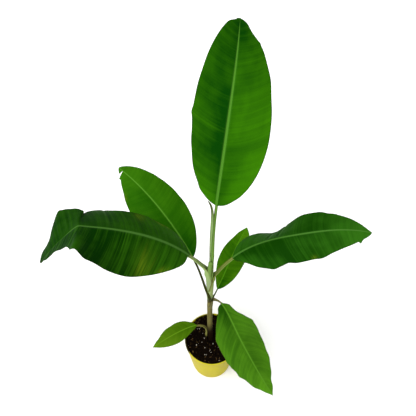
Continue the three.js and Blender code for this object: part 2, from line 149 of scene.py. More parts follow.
# Finish of each blade: its `deep` and `bright` greens, its midrib's `rib`, which fades past
# `rib_to`, its brightness `tone` at the fractions `TONE_AT` and more of it at its `rim`, its
# `bands` along the veins on the left and right half, how far the veins `sweep` to the tip, how high
# its pleats and its margin's ripples are, and the `seed` of its random draws. By place along the
# blade follow the margin's `lobes` and tears (height, reach), `creases` along the veins (depth) and
# yellowed `spots` (place across, reach along and across).
# The `tone` tables and `rim` are partly painted light: they lighten or darken each half for the
# side the light falls on, and lighten its sheen areas.
TONE_AT = (0, 0.3, 0.6, 1)
LOOKS = {
    "top": {
        "deep": "#063602", "bright": "#2f6803", "rib": "#457722", "rib_to": 0.84,
        "tone": {"left": (0.6, 0, 0.15, 0), "right": (0.45, 0.5, 0.58, -0.1)}, "rim": 0.3,
        "bands": (0.22, 0.2), "sweep": 1.0, "pleat": 0.1, "ripple": 0.7, "seed": 1,
        "lobes": {
            "left": ((0.08, 1.8, 0.03), (0.41, -1, 0.05), (0.52, 1.6, 0.025), (0.72, -1, 0.08),
                     (0.985, -4, 0.012)),
            "right": ((0.06, -1, 0.03), (0.64, -1, 0.12), (0.905, 1.2, 0.006),
                      (0.955, -5, 0.035)),
        },
        "creases": {"left": ((0.42, 0.25),)},
    },
    "left": {
        "deep": "#062a01", "bright": "#234f07", "rib": "#3c6426", "rib_to": 0.62,
        "tone": {"left": (0.85, 0.55, 0.25, 0.2), "right": (0.85, 0.65, 0.4, 0.1)}, "rim": 0.0,
        "bands": (1.0, 0.3), "sweep": 0.5, "pleat": 0.3, "ripple": 0.5, "seed": 2,
        "lobes": {
            "left": ((0, -12, 0.02), (0.61, 5, 0.04), (0.71, -16.5, 0.055), (0.81, -19, 0.075),
                     (0.885, -3, 0.025), (0.94, -2.5, 0.04)),
            "right": ((0.19, -6, 0.07), (0.66, -18, 0.032), (0.7, -4, 0.03), (0.757, 3.5, 0.02),
                      (0.805, 15, 0.035), (0.885, -5, 0.02), (0.91, -17, 0.055)),
        },
        "creases": {"right": ((0.49, 0.8),)},
        "spots": {
            "left": ((0.28, 0.75, 0.05, 0.4), (0.16, 0.95, 0.04, 0.12)),
            "right": ((0.33, 0.85, 0.03, 0.22), (0.19, 1, 0.05, 0.1)),
        },
    },
    "rear_left": {
        "deep": "#0f4200", "bright": "#2c5e05", "rib": "#4a7c22",
        "tone": {"left": (0.4, 0.4, 0.5, 0.9), "right": (0.05, 0.55, 0.8, 0.8)}, "rim": 0.1,
        "bands": (0.25, 0.25), "sweep": 1.0, "pleat": 0.14, "ripple": 0.7, "seed": 3,
        "lobes": {
            "left": ((0.85, -3.5, 0.12), (0.932, 4, 0.01), (0.947, -13, 0.008)),
            "right": ((0.45, 1, 0.15), (0.64, 1.2, 0.035), (0.93, 1.8, 0.05)),
        },
        "spots": {"left": ((0.74, 0.95, 0.03, 0.12),)},
    },
    "right": {
        "deep": "#0b3201", "bright": "#285a0f", "rib": "#3c6824",
        "tone": {"left": (0.4, 0.55, 0.3, 1), "right": (0.4, 0.1, 0.4, 1.05)}, "rim": 0.05,
        "bands": (0.27, 0.34), "sweep": 0.8, "pleat": 0.2, "ripple": 0.7, "seed": 4,
        "lobes": {
            "left": ((0.73, -2.4, 0.03), (0.98, -3, 0.03)),
            "right": ((0.02, 2.5, 0.02), (0.1, -2.2, 0.05), (0.29, 2.6, 0.04),
                      (0.4, -2.8, 0.035), (0.63, 3.2, 0.05), (0.925, 4.5, 0.012)),
        },
        "creases": {"left": ((0.28, 1.0), (0.35, 1.2))},
        "spots": {"right": ((0.57, 0.94, 0.018, 0.09),)},
    },
    "front": {
        "deep": "#1a4204", "bright": "#427212", "rib": "#48781c",
        "tone": {"left": (0.3, 0.55, 0.6, 0.75), "right": (0, 0.5, 0.6, 1)}, "rim": 0.05,
        "bands": (0.3, 0.3), "sweep": 3.0, "pleat": 0.14, "ripple": 0.8, "seed": 5,
        "lobes": {
            "left": ((0.03, 3, 0.02), (0.1, -3, 0.035), (0.24, 2.2, 0.04), (0.45, -1.6, 0.1),
                     (0.7, 1.4, 0.05), (0.88, -3, 0.04)),
            "right": ((0.01, 4.5, 0.025), (0.29, 2.6, 0.05), (0.53, 1.8, 0.03),
                      (0.71, 2.5, 0.03), (0.87, 2.5, 0.03)),
        },
        "creases": {"right": ((0.32, 0.5),)},
    },
    "rear_right": {
        "deep": "#1a4900", "bright": "#406e07", "rib": "#437a0f",
        "tone": {"left": (0.7, 0.5, 0.3, 0.8), "right": (0, 0.5, 0.6, 1)}, "rim": 0.0,
        "bands": (0.35, 0.35), "sweep": 1.0, "pleat": 0.2, "ripple": 0.5, "seed": 6,
        "lobes": {
            "left": ((0.26, -1.3, 0.08), (0.82, -1.8, 0.08)),
            "right": ((0.54, 1.3, 0.06), (0.92, 1.6, 0.05)),
        },
    },
    "low": {
        "deep": "#315702", "bright": "#4d6f0e", "rib": "#567e14",
        "tone": {"left": (0.2, 0.3, 0.6, 1), "right": (0.4, 0.4, 0.6, 1)}, "rim": 0.0,
        "bands": (0.3, 0.3), "sweep": 1.4, "pleat": 0.14, "ripple": 0.5, "seed": 7,
        "lobes": {
            "left": ((0.05, 1, 0.03),),
            "right": ((0.14, -1.2, 0.05), (0.5, -1.6, 0.08), (0.82, -1.5, 0.06)),
        },
    },
}

# Colours of each petiole: its body, its margins and its foot.
STALK_COLOURS = {
    "top": ("#6a903c", "#4c6024", "#6c8c40"),
    "left": ("#86a05c", "#5a5e2c", "#7e8e64"),
    "rear_left": ("#3e4612", "#1e1e06", "#343a0e"),
    "right": ("#667a30", "#5a5a28", "#7c8c50"),
    "front": ("#6e6c40", "#4c4a2c", "#6a6640"),
    "rear_right": ("#456410", "#34340e", "#43431c"),
    "low": ("#787a3c", "#4c4420", "#857c4a"),
}

# ---- curves


def through(xs, ys, x):
    """Smooth values at x through stations, and level past the first and last of them."""
    xs, ys, x = (np.asarray(v, float) for v in (xs, ys, x))
    last = len(xs) - 1
    before, after = (np.clip(np.arange(last + 1) + k, 0, last) for k in (-1, 1))
    slope = (ys[after] - ys[before]) / (xs[after] - xs[before])
    i = np.clip(np.searchsorted(xs, x, side="right") - 1, 0, last - 1)
    h = xs[i + 1] - xs[i]
    u = np.clip((x - xs[i]) / h, 0, 1)
    v = 1 - u
    start = ys[i] * (1 + 2 * u) * v * v + slope[i] * h * u * v * v
    end = ys[i + 1] * u * u * (3 - 2 * u) - slope[i + 1] * h * u * u * v
    return start + end


def smooth(x):
    """0 up to x = 0, 1 from x = 1, and an even S between."""
    x = np.clip(x, 0, 1)
    return x * x * (3 - 2 * x)


def waves(x, lengths, rng):
    """Uneven waves of about unit height along x, from sines of the given lengths."""
    phases = rng.uniform(0, 2 * math.pi, len(lengths))
    total = sum(np.sin(2 * math.pi * x / w + p) for w, p in zip(lengths, phases))
    return total / math.sqrt(len(lengths))


def limb_axes(rise, heading, twist):
    """The along, side and up axes of a limb, turned by twist about itself."""
    r, h, w = np.radians(rise), np.radians(heading), np.radians(twist)
    along = np.stack([np.cos(r) * np.cos(h), np.cos(r) * np.sin(h), np.sin(r)], -1)
    level = np.stack([np.sin(h), -np.cos(h), np.zeros_like(h)], -1)
    upright = np.cross(level, along)
    cos, sin = np.cos(w)[..., None], np.sin(w)[..., None]
    return along, level * cos + upright * sin, upright * cos - level * sin


class Spine:
    """A curve walked in steps of up to 1 mm, with its points and axes at any lengths along it."""

    def __init__(self, start, length, stops, *angles):
        self.stops, self.angles = stops, angles
        steps = math.ceil(length)
        self.lengths = np.linspace(0, length, steps + 1)
        middles = (self.lengths[1:] + self.lengths[:-1]) / 2
        walked = np.cumsum(self.axes_at(middles)[0] * (length / steps), axis=0)
        self.points = np.vstack([[start], np.array(start, float) + walked])

    def axes_at(self, s):
        return limb_axes(*(through(self.stops, values, s) for values in self.angles))

    def at(self, s):
        point = [np.interp(s, self.lengths, self.points[:, k]) for k in range(3)]
        return (np.stack(point, -1), *self.axes_at(s))


def leaf_spine(leaf):
    length = leaf["petiole"] + leaf["blade"]
    stops = np.interp(leaf["at"], (0, 1, 2), (0, leaf["petiole"], length))
    return Spine(leaf["from"], length, stops, leaf["rise"], leaf["heading"], leaf["twist"])


# ---- meshes


def add_object(name, data):
    obj = bpy.data.objects.new(name, data)
    bpy.context.scene.collection.objects.link(obj)
    return obj


def add_mesh(name, points, faces, material, attributes=None):
    """A mesh object from points in millimetres, faces and vertex attributes."""
    mesh = bpy.data.meshes.new(name)
    mesh.from_pydata((np.asarray(points) * MM).tolist(), [], faces)
    for key, values in (attributes or {}).items():
        kind, field = ("FLOAT", "value") if values.ndim == 1 else ("FLOAT_VECTOR", "vector")
        layer = mesh.attributes.new(key, kind, "POINT")
        layer.data.foreach_set(field, np.asarray(values, np.float32).ravel())
    mesh.polygons.foreach_set("use_smooth", [True] * len(mesh.polygons))
    mesh.materials.append(material)
    mesh.update()
    return add_object(name, mesh)


def band(a, b, n):
    """Faces between two rings of n points, whose first points are a and b."""
    return [(a + i, a + (i + 1) % n, b + (i + 1) % n, b + i) for i in range(n)]


def loft(name, rings, material, attributes):
    """A closed body through rings of equal, even point counts, with strips across both ends."""
    count, n = rings.shape[:2]
    faces = []
    for k in range(count - 1):
        faces += band(k * n, (k + 1) * n, n)
    end = (count - 1) * n
    for i in range(n // 2 - 1):
        j = n - 1 - i
        faces.append((i, j, j - 1, i + 1))
        faces.append((end + i, end + i + 1, end + j - 1, end + j))
    rows = {key: v.reshape(count * n, *v.shape[2:]) for key, v in attributes.items()}
    return add_mesh(name, rings.reshape(-1, 3), faces, material, rows)


def finish_piece(obj, slot, *nodes):
    """Fixes a piece to the plant, in place of the named nodes; its material slot is not used."""
    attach(obj, "root")
    if nodes:
        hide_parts(*nodes)


# ---- materials


def linear(code):
    """Linear colour of an sRGB code such as "#3f8a12"."""
    values = [int(code[i : i + 2], 16) / 255 for i in (1, 3, 5)]
    return (*(v / 12.92 if v <= 0.04045 else ((v + 0.055) / 1.055) ** 2.4 for v in values), 1)


class Shader:
    """A material's node tree, with short calls for the nodes that the finishes need."""

    def __init__(self, name):
        self.material = bpy.data.materials.new(name)
        self.material.use_nodes = True
        self.tree = self.material.node_tree
        self.bsdf = self.tree.nodes["Principled BSDF"]

    def node(self, kind, inputs, **settings):
        node = self.tree.nodes.new(kind)
        for key, value in settings.items():
            setattr(node, key, value)
        for key, value in inputs.items():
            self.put(node.inputs[key], value)
        return node

    def put(self, socket, value):
        """Links a socket to another one, or gives it a value or a colour code."""
        if isinstance(value, bpy.types.NodeSocket):
            self.tree.links.new(value, socket)
        else:
            socket.default_value = linear(value) if isinstance(value, str) else value

    def attribute(self, name, output="Vector"):
        return self.node("ShaderNodeAttribute", {}, attribute_name=name).outputs[output]

    def part(self, vector, axis):
        return self.node("ShaderNodeSeparateXYZ", {0: vector}).outputs[axis]

    def place(self):
        """The point's place on the object, in metres."""
        return self.node("ShaderNodeTexCoord", {}).outputs["Object"]

    def noise(self, vector, scale, detail=3.0, rough=0.5):
        """Noise with features of about 1 / scale, where scale may differ by axis."""
        stretched = self.vector("MULTIPLY", "Vector", vector, scale)
        inputs = {"Vector": stretched, "Scale": 1.0, "Detail": detail, "Roughness": rough}
        return self.node("ShaderNodeTexNoise", inputs).outputs[0]

    def steps(self, value, low, high, to_low=0.0, to_high=1.0):
        """Value carried smoothly from low..high to to_low..to_high."""
        inputs = {"Value": value, 1: low, 2: high, 3: to_low, 4: to_high}
        return self.node("ShaderNodeMapRange", inputs, interpolation_type="SMOOTHSTEP").outputs[0]

    def math(self, operation, a, b):
        return self.node("ShaderNodeMath", {0: a, 1: b}, operation=operation).outputs[0]

    def vector(self, operation, output, *inputs):
        """A vector operation's output, "Vector" or "Value"."""
        node = self.node("ShaderNodeVectorMath", dict(enumerate(inputs)), operation=operation)
        return node.outputs[output]

    def times(self, a, b):
        return self.math("MULTIPLY", a, b)

    def blend(self, factor, a, b):
        """Colour a, carried to colour b by factor."""
        return self.node("ShaderNodeMix", {0: factor, 6: a, 7: b}, data_type="RGBA").outputs[2]

    def bump(self, height, strength, distance):
        inputs = {"Height": height, "Strength": strength, "Distance": distance}
        return self.node("ShaderNodeBump", inputs).outputs[0]

    def shade(self, base, rough, bump=None, specular=0.5):
        """The finished material."""
        sockets = {"Base Color": base, "Roughness": rough, "Specular IOR Level": specular}
        if bump is not None:
            sockets["Normal"] = bump
        for key, value in sockets.items():
            self.put(self.bsdf.inputs[key], value)
        return self.material


def leaf_material(name, look):
    """Green blade: `grain` holds where the vein leaves the midrib and the place across and along
    the blade, `zone` the nearness to the midrib, the distance to the margin and the underside."""
    s = Shader(f"blade_{name}")
    grain, zone = s.attribute("grain"), s.attribute("zone")
    rib, margin, under = (s.part(zone, axis) for axis in range(3))
    cloud = s.steps(s.noise(grain, (0.016, 0.03, 0.01), 3), 0.3, 0.7, -0.18, 0.18)
    wide = s.steps(s.noise(grain, (0.12, 0.005, 0.0), 2), 0.35, 0.65, -0.35, 0.35)
    fine = s.steps(s.noise(grain, (0.5, 0.008, 0.0), 3, 0.7), 0.35, 0.68, -0.3, 0.3)
    bands = s.steps(s.part(grain, 1), -1.0, 1.0, *look["bands"])
    # The tone attribute is partly painted light: lit and shaded halves, lightened sheen areas, and
    # the highlight and shade painted along the creases.
    tone = s.math("ADD", s.attribute("tone", "Fac"), cloud)
    tone = s.math("ADD", tone, s.times(s.math("ADD", wide, fine), bands))
    base = s.blend(tone, look["deep"], look["bright"])
    thread = s.steps(s.noise(grain, (0.55, 0.012, 0.0), 2, 0.7), 0.42, 0.6, 0.25, 1.0)
    yellow = s.times(s.attribute("spot", "Fac"), thread)
    base = s.blend(yellow, base, "#46600c")
    base = s.blend(s.times(s.steps(under, 0.4, 0.6), 0.5), base, "#3c6a22")
    base = s.blend(s.steps(rib, 0.0, 0.45, 0.0, 0.95), base, look["rib"])
    brown = s.steps(s.noise(grain, (0.05, 0.05, 0.05), 2), 0.42, 0.6, 0.2, 0.8)
    edge = s.times(s.steps(margin, 0.2, 1.0, 1.0, 0.0), brown)
    base = s.blend(edge, base, "#33290c")
    rough = s.steps(s.noise(grain, (0.06, 0.06, 0.06), 3), 0.3, 0.7, 0.4, 0.52)
    bump = s.bump(s.noise(grain, (2.2, 0.08, 0.0), 2), 0.2, 0.0003)
    return s.shade(base, rough, bump, 0.006)


def stalk_material(name, body, edge_colour, foot_colour):
    """Waxy petiole with brown margins; `run` holds places across and along, and the edge."""
    foot_part, stained_part = (-30.0, 8.0), (15.0, 23.0)  # mm along the petiole
    s = Shader(f"petiole_{name}")
    run = s.attribute("run")
    fibres = s.noise(run, (2.4, 0.03, 0.0), 3)
    base = s.blend(s.steps(fibres, 0.35, 0.65, 0.0, 0.5), body, foot_colour)
    speckle = s.noise(run, (0.8, 0.35, 0.0), 4, 0.7)
    base = s.blend(s.steps(speckle, 0.6, 0.75, 0.0, 0.45), base, edge_colour)
    foot = s.steps(s.part(run, 1), *foot_part, 1.0, 0.0)
    base = s.blend(foot, base, foot_colour)
    base = s.blend(s.steps(s.part(run, 2), 0.72, 0.95, 0.0, 0.9), base, edge_colour)
    if name == "low":
        in_mix = s.steps(s.part(run, 1), *stained_part, 1.0, 0.0)
        stain = s.times(in_mix, s.steps(speckle, 0.15, 0.45))
        base = s.blend(stain, base, "#160d05")
    rough = s.steps(fibres, 0.3, 0.7, 0.4, 0.55)
    bump = s.bump(fibres, 0.3, 0.0003)
    return s.shade(base, rough, bump, 0.02)


def stem_material():
    """Sheaths: waxy pale green above a dark knot, tan below it and stained at the foot."""
    # Heights in mm over which one look passes into the next, and how far they wander.
    stained_to, green_from, fresh_from = (150.0, 205.0), (276.0, 286.0), (340.0, 375.0)
    knot_from, knot_to = (271.0, 277.0), (282.0, 292.0)
    wander_height = 14.0
    s = Shader("stem_sheaths")
    run = s.attribute("run")
    height = s.part(run, 1)
    fibres = s.noise(run, (1.3, 0.012, 0.0), 4, 0.6)
    green = s.blend(s.steps(fibres, 0.35, 0.65), "#64783f", "#92a66c")
    tan = s.blend(s.steps(fibres, 0.35, 0.65), "#4f4b25", "#7b7441")
    marks = s.noise(run, (0.5, 0.11, 0.0), 5, 0.8)
    green = s.blend(s.steps(marks, 0.52, 0.64, 0.0, 0.75), green, "#4c4e26")
    green = s.blend(s.steps(marks, 0.36, 0.48, 0.7, 0.0), green, "#9caa90")
    wander = s.times(s.noise(run, (0.15, 0.04, 0.0), 2), wander_height)
    level = s.math("ADD", height, wander)
    base = s.blend(s.steps(level, *green_from), tan, green)
    base = s.blend(s.steps(level, *fresh_from, 0.0, 0.8), base, "#5a7a30")
    dirt = s.noise(run, (0.4, 0.1, 0.0), 4, 0.7)
    stain = s.times(s.steps(level, *stained_to, 1.0, 0.0), s.steps(dirt, 0.1, 0.38))
    base = s.blend(stain, base, "#160d05")
    knot = s.times(s.steps(level, *knot_from), s.steps(level, *knot_to, 1.0, 0.0))
    base = s.blend(s.times(knot, 0.75), base, "#2a220c")
    base = s.blend(s.steps(s.part(run, 2), 0.2, 0.9, 0.0, 0.85), base, "#302408")
    bump = s.bump(fibres, 0.5, 0.0004)
    rough = s.steps(fibres, 0.3, 0.7, 0.5, 0.7)
    return s.shade(base, rough, bump, 0.03)


def spear_material():
    """Pale green roll with a dark free edge and a browner tip."""
    tip_from = (80.0, 122.0)  # mm along the roll
    s = Shader("rolled_leaf_skin")
    run = s.attribute("run")
    fibres = s.noise(run, (2.0, 0.02, 0.0), 3)
    base = s.blend(s.steps(fibres, 0.35, 0.65), "#64803f", "#86a064")
    base = s.blend(s.steps(s.part(run, 2), 0.05, 0.5), base, "#3c4a1c")
    tip = s.steps(s.part(run, 1), *tip_from, 0.0, 0.7)
    base = s.blend(tip, base, "#3e4418")
    bump = s.bump(fibres, 0.3, 0.0003)
    rough = s.steps(fibres, 0.3, 0.7, 0.4, 0.5)
    return s.shade(base, rough, bump, 0.06)


# Where the pot's finish changes, in mm: the heights from which a painted highlight lightens its
# rim, the radii and heights of its darker inside, the places along X and heights of its darker left
# rim, and the places, with their reach, that are kept from darkening.
PAINTED_RIM_HIGHLIGHT = (108.5, 109.5)
DARKENED_RADII, DARKENED_HEIGHTS = (57.8, 58.3), (104, 105)
DARKENED_X, DARKENED_LEFT_HEIGHTS = (-50, -44), (105, 105.5)
SPARED_PLACES = (((-42.5, 41, 110), 5.5), ((8.5, 58, 110), 4.5))


def metres(*lengths):
    return [length * MM for length in lengths]


def pot_darkening(s, place, dust):
    """How much darker the pot is: on its inner wall above the mix, along its left rim, and not at
    its spared places.
    """
    radius = s.vector("LENGTH", "Value", s.vector("MULTIPLY", "Vector", place, (1, 1, 0)))
    height = s.part(place, 2)
    inside = s.times(s.steps(radius, *metres(*DARKENED_RADII), 1.0, 0.0),
                     s.steps(height, *metres(*DARKENED_HEIGHTS)))
    left = s.times(s.steps(s.part(place, 0), *metres(*DARKENED_X), 1.0, 0.0),
                   s.steps(height, *metres(*DARKENED_LEFT_HEIGHTS)))
    darkness = s.times(s.math("MAXIMUM", inside, left), s.steps(dust, 0.3, 0.5, 0.6, 0.95))
    for centre, reach in SPARED_PLACES:
        away = s.vector("DISTANCE", "Value", place, metres(*centre))
        darkness = s.times(darkness, s.steps(away, *metres(0.75 * reach, reach)))
    return darkness


def pot_material():
    """Yellow plastic, dusty outside, with a painted highlight along its rim, and darker inside and
    along its left rim.
    """
    s = Shader("yellow_plastic")
    place = s.place()
    cloud = s.noise(place, (30.0, 30.0, 22.0), 3)
    base = s.blend(s.steps(cloud, 0.35, 0.65), "#a69812", "#b0a41c")
    dust = s.noise(place, (220.0, 220.0, 120.0), 5, 0.75)
    base = s.blend(s.steps(dust, 0.52, 0.7, 0.0, 0.4), base, "#8a7e1c")
    # Painted highlight: a lighter band along the top of the rim.
    base = s.blend(s.steps(s.part(place, 2), *metres(*PAINTED_RIM_HIGHLIGHT)), base, "#b6ac28")
    # Darker inner wall above the mix and darker left rim, except at the spared places.
    base = s.blend(pot_darkening(s, place, dust), base, "#1a1206")
    rough = s.steps(cloud, 0.3, 0.7, 0.36, 0.48)
    bump = s.bump(s.noise(place, (900.0, 900.0, 900.0), 2), 0.08, 0.0002)
    return s.shade(base, rough, bump, 0.03)


def mix_material(name, dark, light, scale):
    """Rough grains from dark to light, of about 1 / scale in metres."""
    s = Shader(name)
    place = s.place()
    grain = s.noise(place, (scale, scale, scale), 4, 0.6)
    base = s.blend(s.steps(grain, 0.38, 0.7), dark, light)
    rough = s.steps(grain, 0.3, 0.7, 0.75, 0.95)
    bump = s.bump(s.noise(place, (2500.0, 2500.0, 2500.0), 3), 0.5, 0.0005)
    return s.shade(base, rough, bump, 0.02)


# ---- blades

BLADE_THICKNESS = 0.5  # mm, as a real blade's
MARGIN_THINNING = 0.4  # share of the thickness lost at the margin
STATION_SPACING = 1.2  # mm along the blade
BLADE_COLUMNS = 24
# Shares of the stations that crowd to the ends and of the columns that crowd to the margin.
END_CROWDING, MARGIN_CROWDING = 0.3, 0.15
RIB_COLUMNS = (0, 0.3, 0.6, 0.85, 1)  # fractions of the midrib's half width
RIB_SHARE = 0.0102  # the solid's thickness at the tip, as a share of the blade's length
RIB_TAPER = 1.5  # the power by which the midrib thins to the tip
TIP_RIB_WIDTH = 0.45  # half the midrib at the tip, as a share of half the solid there
RIB_DEPTH = 0.85  # below the blade, as a share of the midrib's width
GROOVE_DEPTH = 0.22  # along the midrib, as a share of its half width
LEAST_WIDTH = 1.15  # of a half, in half widths of the midrib
RIB_FADE, RIB_FADE_LENGTH = 0.8, 0.16  # how much of its colour, over which share
VEIN_LEAN, VEIN_BEND = 0.18, 0.25  # to the tip, in half widths
PLEAT_LENGTHS = (6.1, 8.7, 12.9)  # mm along the blade
STRONG_LENGTHS = (70, 113)  # mm between the stretches where pleats are strong
STRONG_SLANT = 30  # mm by which they start sooner at the margin
RIPPLE_LENGTHS = (41, 67)  # mm along the margin
CREASE_REACH = 2.6  # mm to each side of a crease's bottom


def half_width(leaf, hand, t):
    """The plain width of one half, which the heel and the point draw in by their own powers."""
    widest = leaf["widest"]
    x = np.where(t < widest, (widest - t) / widest, (t - widest) / (1 - widest))
    blunt = np.where(t < widest, leaf["heel"], leaf["point"][hand])
    return leaf["half"][hand] * np.maximum(0, 1 - x * x) ** blunt


def half_relief(leaf, look, hand, t, across, off_rib, vein, rng):
    """How far the pleats, ripples and creases lift one half's skin, and how bright it is, with a
    painted highlight and painted shade along each crease.
    """
    along = t * leaf["blade"]
    strength = 0.65 + 0.35 * waves(along + across * STRONG_SLANT, STRONG_LENGTHS, rng)
    relief = look["pleat"] * waves(vein, PLEAT_LENGTHS, rng) * strength * off_rib
    relief = relief * (1 - 0.6 * across**6)
    ripple = look["ripple"] * waves(vein, RIPPLE_LENGTHS, rng)
    relief = relief + ripple * across**2 * smooth(t * 8)
    # Tone along and across the half, partly painted light for its lit or shaded side and its sheen.
    tone = through(TONE_AT, look["tone"][hand], t) + look["rim"] * across
    for place, deep in look.get("creases", {}).get(hand, ()):
        past = (vein - place * leaf["blade"]) / CREASE_REACH
        relief = relief - deep * np.exp(-(past**2)) * off_rib
        # Painted highlight on one flank of the crease and painted shade on the other, near its
        # bottom.
        lit, shaded = np.exp(-((past - 1.2) ** 2) * 2), np.exp(-((past + 0.6) ** 2))
        tone = tone + deep * (0.5 * lit - 0.25 * shaded) * off_rib
    return relief, tone


def half_spots(look, hand, t, across):
    """How yellowed one half is: 1 in the middle of a spot."""
    spot = np.zeros_like(across)
    for place, share, long, wide in look.get("spots", {}).get(hand, ()):
        away = ((t - place) / long) ** 2 + ((across - share) / wide) ** 2
        spot = np.maximum(spot, np.exp(-away))
    return spot


def half_surface(leaf, look, hand, t, frame_at, rng):
    """Upper and under points across one half, with their grain, zone, spot and tone values."""
    point, _, side, up = (axis[:, None] for axis in frame_at)
    sign = 1 if hand == "right" else -1
    t = t[:, None]
    rib_kept = 1 - t**RIB_TAPER
    tip_rib = leaf["blade"] * RIB_SHARE / 2
    rib = leaf["midrib"] / 2 * rib_kept + tip_rib * TIP_RIB_WIDTH * t
    plain = half_width(leaf, hand, t)
    lobes = [high * np.exp(-(((t - at) / long) ** 2)) for at, high, long in look["lobes"][hand]]
    width = np.maximum(sum(lobes, plain), rib * LEAST_WIDTH)
    shares = np.arange(1, BLADE_COLUMNS + 1) / BLADE_COLUMNS
    crowded = np.sin(shares * math.pi / 2)
    shares = shares * (1 - MARGIN_CROWDING) + crowded * MARGIN_CROWDING
    reach = np.hstack([rib * np.array(RIB_COLUMNS), rib + (width - rib) * shares])
    across = reach / width
    lift = through(leaf["fold_at"], leaf["fold"][hand], t)
    middle = (across[:, 1:] + across[:, :-1]) / 2
    angle = np.radians(lift + leaf["curl"][hand] * middle)
    step = np.diff(reach, axis=1)
    zero = np.zeros_like(t)
    lateral = np.hstack([zero, np.cumsum(np.cos(angle) * step, axis=1)])
    rising = np.hstack([zero, np.cumsum(np.sin(angle) * step, axis=1)])
    tilt = np.radians(lift + leaf["curl"][hand] * across)
    normal = up * np.cos(tilt)[..., None] - sign * side * np.sin(tilt)[..., None]

    even_width = np.maximum(plain, rib * LEAST_WIDTH)
    forward = even_width * (VEIN_LEAN * across + VEIN_BEND * across**2) * look["sweep"]
    vein = t * leaf["blade"] - forward
    off_rib = smooth((reach - rib) / np.maximum(width * 0.25, 1))
    relief, tone = half_relief(leaf, look, hand, t, across, off_rib, vein, rng)
    groove = GROOVE_DEPTH * rib * (1 - np.minimum(reach / rib, 1) ** 2)
    upper = point + sign * side * lateral[..., None] + up * rising[..., None]
    upper = upper + normal * (relief - groove)[..., None]

    rib_depth = leaf["midrib"] * RIB_DEPTH * rib_kept + 2 * tip_rib * t
    in_rib = np.sqrt(np.maximum(0, 1 - (reach / (rib * 1.02)) ** 2))
    blade_depth = BLADE_THICKNESS * (1 - MARGIN_THINNING * across)
    depth = blade_depth + (rib_depth - BLADE_THICKNESS) * in_rib
    under = upper - normal * depth[..., None]

    grain = np.stack([vein, sign * reach, t * leaf["blade"] + 0 * reach], -1)
    faded = RIB_FADE * smooth((t - look.get("rib_to", 1)) / RIB_FADE_LENGTH)
    near_rib = np.clip(1.15 - reach / rib, 0, 1) * (1 - faded)
    zones = [np.stack([near_rib, width - reach, 0 * reach + face], -1) for face in (0, 1)]
    return {
        "upper": upper, "under": under, "grain": grain, "zone": zones[0], "under_zone": zones[1],
        "spot": half_spots(look, hand, t, across), "tone": tone,
    }


def make_blade(name, leaf, spine):
    """A blade as one closed body: over both halves' upper skins, then back over the under ones."""
    look = LOOKS[name]
    rng = np.random.default_rng(look["seed"])
    count = round(leaf["blade"] / STATION_SPACING)
    even = np.linspace(0, 1, count)
    t = (1 - END_CROWDING) * even + END_CROWDING * (1 - np.cos(math.pi * even)) / 2
    frame_at = spine.at(leaf["petiole"] + t * leaf["blade"])
    left = half_surface(leaf, look, "left", t, frame_at, rng)
    right = half_surface(leaf, look, "right", t, frame_at, rng)

    def ring(over, back):
        parts = (left[over][:, ::-1], right[over][:, 1:], right[back][:, ::-1], left[back][:, 1:])
        return np.concatenate(parts, axis=1)

    attributes = {key: ring(key, key) for key in ("grain", "spot", "tone")}
    attributes["zone"] = ring("zone", "under_zone")
    return loft(f"leaf_{name}", ring("upper", "under"), leaf_material(name, look), attributes)


# ---- stem, petioles, rolled leaf


STEM_RINGS = 230
STEM_TURN = 3  # degrees between a ring's points
SHEATH_FADE = 8  # mm over which a free edge begins and ends
STEP_REACH = 150  # degrees past a free edge over which its step wears off
EDGE_REACH = 5  # degrees past a free edge that are dark


def stem_axis(z):
    return np.stack([through(STEM_Z, STEM_X, z), through(STEM_Z, STEM_Y, z), z], -1)


def make_stem():
    """The stem's round body with the free edges of its sheaths and a little unevenness."""
    rng = np.random.default_rng(11)
    z = np.linspace(STEM_FOOT_Z, STEM_TOP_Z, STEM_RINGS)[:, None]
    angle = np.radians(np.arange(0, 360, STEM_TURN))[None]
    radius = through(STEM_Z, STEM_RADIUS, z) + 0 * angle
    edge = np.zeros_like(radius)
    for heading, drift, low, high, step in SHEATH_EDGES:
        free = np.radians(heading + drift * (z - low) / 100)
        past = (angle - free) % (2 * math.pi)
        shown = smooth((z - low) / SHEATH_FADE) * smooth((high - z) / SHEATH_FADE)
        radius = radius - step * shown * (1 - smooth(past / math.radians(STEP_REACH)))
        edge = np.maximum(edge, shown * np.exp(-((past / math.radians(EDGE_REACH)) ** 2)))
    radius = radius + 0.05 * waves(np.degrees(angle) + z * 0.05, (7.2, 11.25, 20), rng)
    radius = radius + 0.12 * waves(z, (23, 41, 67), rng)
    ring_axis = stem_axis(z[:, 0])[:, None]
    around = np.stack([np.cos(angle), np.sin(angle), 0 * angle], -1)
    rings = ring_axis + around * radius[..., None]
    run = np.stack(np.broadcast_arrays(angle * 6, z, edge), -1)
    return loft("stem_sheathed", rings, stem_material(), {"run": run})


# Each petiole's width where it leaves the stem and where it meets the blade, with the thin wings
# beside its channel that the solids leave out.
STALK_WIDTHS = {
    "top": (8, 4.6), "left": (9.5, 6), "rear_left": (5.6, 3.8), "right": (8, 5.4),
    "front": (4.6, 3.4), "rear_right": (3.2, 2.6), "low": (12.5, 4.4),
}
CHANNEL_HALF_ANGLE = 125  # degrees from the back of a petiole to its channel's margins
STALK_SPACING = 1.6  # mm between a petiole's sections
SHELL_THINNING = 0.55  # share of a shell's wall lost at its margins
SHELL_RUN = 7  # mm across half a shell in its fibres' pattern
# A sheath at its foot: its half angle round the stem, how deep it lies in the stem and its wall.
# Towards its top it climbs out and thickens.
WRAP_HALF_ANGLE = 150
WRAP_INSET, WRAP_CLIMB = 0.35, 1.1
WRAP_WALL, WRAP_THICKENING = 0.4, 0.7
# A sheath's top: how far it stands out from the stem, the half angle that it spans there and the
# length over which it draws in to its petiole.
SHEATH_TOPS = {"left": (3.4, 138, 30), "right": (3, 90, 22)}
PLAIN_TOP = (0, 75, 16)
